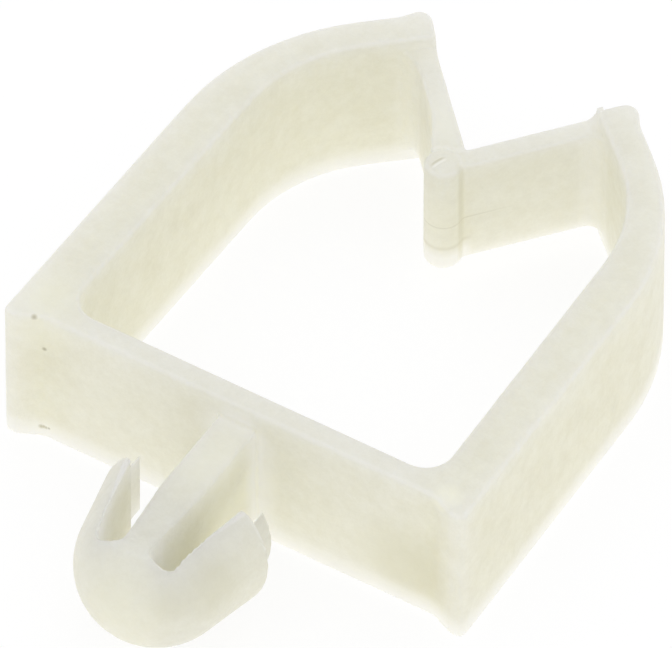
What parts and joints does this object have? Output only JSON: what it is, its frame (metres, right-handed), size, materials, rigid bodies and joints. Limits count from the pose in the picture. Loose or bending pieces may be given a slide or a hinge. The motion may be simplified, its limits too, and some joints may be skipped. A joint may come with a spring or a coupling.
{
  "type": "cable clip",
  "caption": "U-shaped snap-in cable clip in natural nylon, with a strap that wraps the cable, springy lips that form a V-shaped entry, and a slotted barbed foot for a panel hole.",
  "frame": {"origin": "on the flank that the clip lies on, midway along the base strap and midway through its thickness", "axes": "+Z across the strap, +Y from the base towards the V-shaped entry, +X along the base; the foot points along -Y"},
  "size_m": [0.0174, 0.0254, 0.0058],
  "materials": {
    "natural_nylon": "translucent natural nylon, as moulded, with a soft satin skin"
  },
  "bodies": {
    "root": {"clip_body": "natural_nylon"}
  },
  "joints": []
}
